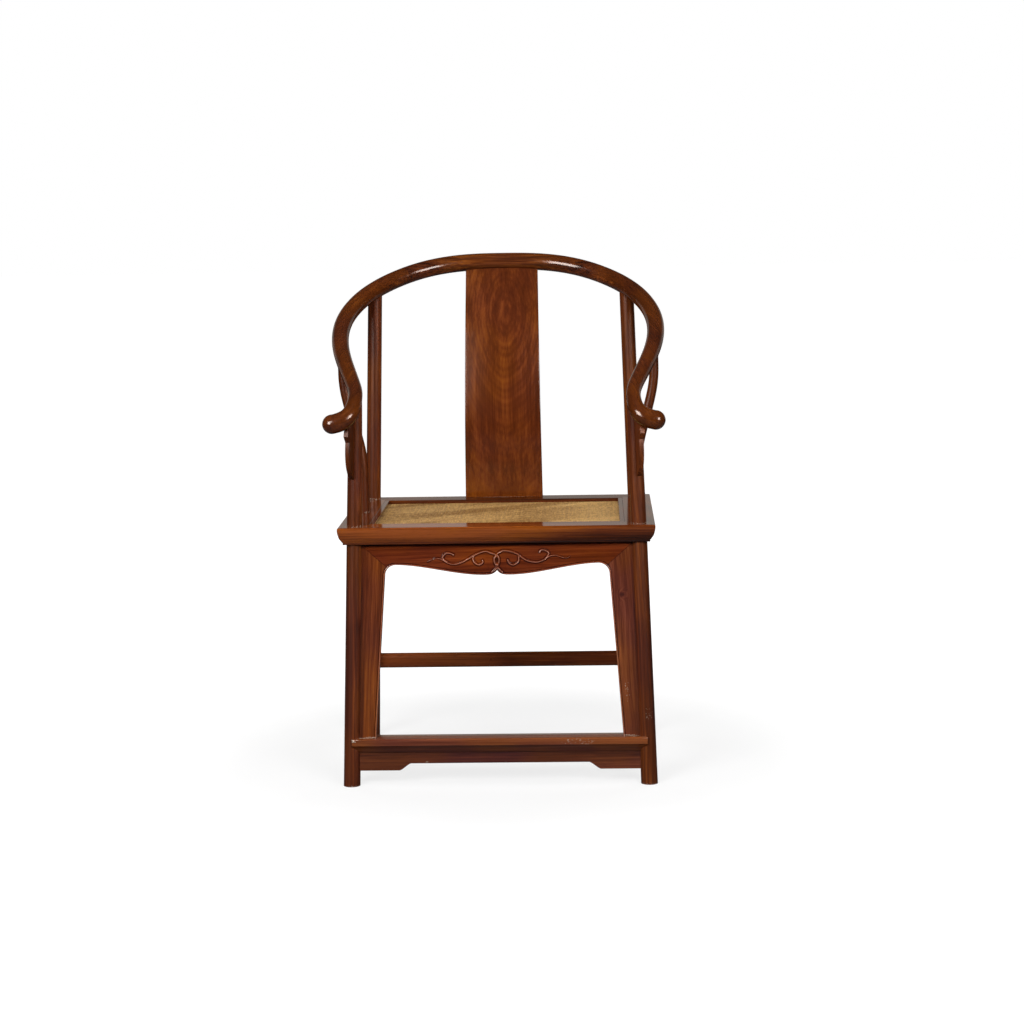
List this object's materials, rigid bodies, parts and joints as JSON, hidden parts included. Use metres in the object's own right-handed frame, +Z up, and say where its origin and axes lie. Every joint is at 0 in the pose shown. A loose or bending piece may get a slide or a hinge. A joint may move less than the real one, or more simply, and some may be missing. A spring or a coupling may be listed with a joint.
{
  "type": "horseshoe back armchair",
  "caption": "Hardwood armchair with a continuous horseshoe rail sloping into hooked arms, a bent splat, a framed cane seat, a carved front apron and a footrest.",
  "frame": {"origin": "on the floor, under the middle of the chair's bounding box", "axes": "+Z up, -Y the front the sitter faces, +X to the right seen from the front"},
  "size_m": [0.654, 0.5848, 0.9972],
  "materials": {
    "hardwood": "polished dark red-brown hardwood",
    "cane": "tight woven split cane, golden tan",
    "palm_fibre": "laced palm-fibre cord"
  },
  "bodies": {
    "root": {"arm_bracket_left": "hardwood", "arm_bracket_right": "hardwood", "arm_stile_left": "hardwood", "arm_stile_right": "hardwood", "back_apron_ear_left": "hardwood", "back_apron_ear_right": "hardwood", "back_apron_top": "hardwood", "back_splat": "hardwood", "cane_mat": "cane", "cane_strip_back": "hardwood", "cane_strip_front": "hardwood", "cane_strip_left": "hardwood", "cane_strip_right": "hardwood", "coir_webbing": "palm_fibre", "crest_rail_centre": "hardwood", "crest_rail_hook_left": "hardwood", "crest_rail_hook_right": "hardwood", "crest_rail_shoulder_left": "hardwood", "crest_rail_shoulder_right": "hardwood", "crest_scarf_pegs": "hardwood", "footrest": "hardwood", "footrest_apron": "hardwood", "front_apron_top": "hardwood", "front_apron_upright_left": "hardwood", "front_apron_upright_right": "hardwood", "front_leg_left": "hardwood", "front_leg_right": "hardwood", "rear_leg_left": "hardwood", "rear_leg_right": "hardwood", "seat_batten_left": "hardwood", "seat_batten_right": "hardwood", "seat_rail_back": "hardwood", "seat_rail_front": "hardwood", "seat_rail_left": "hardwood", "seat_rail_right": "hardwood", "side_apron_back_left": "hardwood", "side_apron_back_right": "hardwood", "side_apron_front_left": "hardwood", "side_apron_front_right": "hardwood", "side_apron_top_left": "hardwood", "side_apron_top_right": "hardwood", "stretcher_rear": "hardwood", "stretcher_side_left": "hardwood", "stretcher_side_right": "hardwood"}
  },
  "joints": []
}
